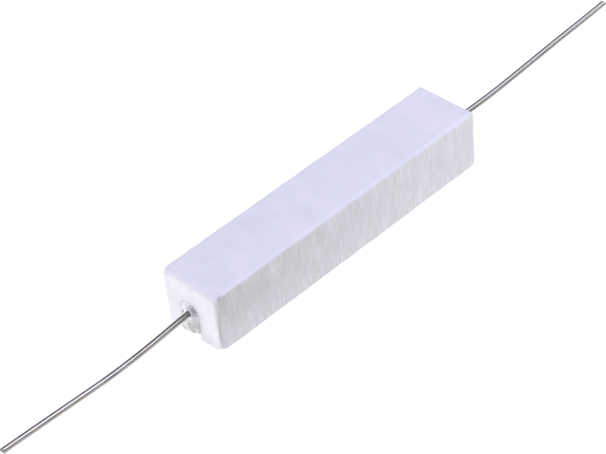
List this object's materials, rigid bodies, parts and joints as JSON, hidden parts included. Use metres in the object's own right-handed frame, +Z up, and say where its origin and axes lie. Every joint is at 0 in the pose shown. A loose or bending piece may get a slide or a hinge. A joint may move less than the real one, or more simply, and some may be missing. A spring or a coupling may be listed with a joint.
{
  "type": "axial wirewound resistor",
  "caption": "Wirewound power resistor in a square white ceramic case filled with cement, with a straight tinned wire lead from each end.",
  "frame": {"origin": "middle of the cemented underside of the case, on the plane it rests on", "axes": "+X along the body towards the rear lead, +Y across the width, +Z up from the cemented underside to the closed top"},
  "size_m": [0.1143, 0.01, 0.0091],
  "materials": {
    "white_ceramic": "unglazed pressed white ceramic, smooth top, fine upright draw marks on the sides",
    "cement": "matt greenish grey silica cement",
    "rod_ceramic": "matt cream ceramic",
    "resistance_alloy": "drawn resistance alloy wire",
    "cap_metal": "pressed and plated steel",
    "tinned_wire": "bright tinned copper wire with fine draw lines"
  },
  "bodies": {
    "root": {"ceramic_case": "white_ceramic", "cement_fill": "cement", "core_rod": "rod_ceramic", "resistance_wire": "resistance_alloy", "front_cap": "cap_metal", "rear_cap": "cap_metal", "front_lead": "tinned_wire", "rear_lead": "tinned_wire"}
  },
  "joints": []
}
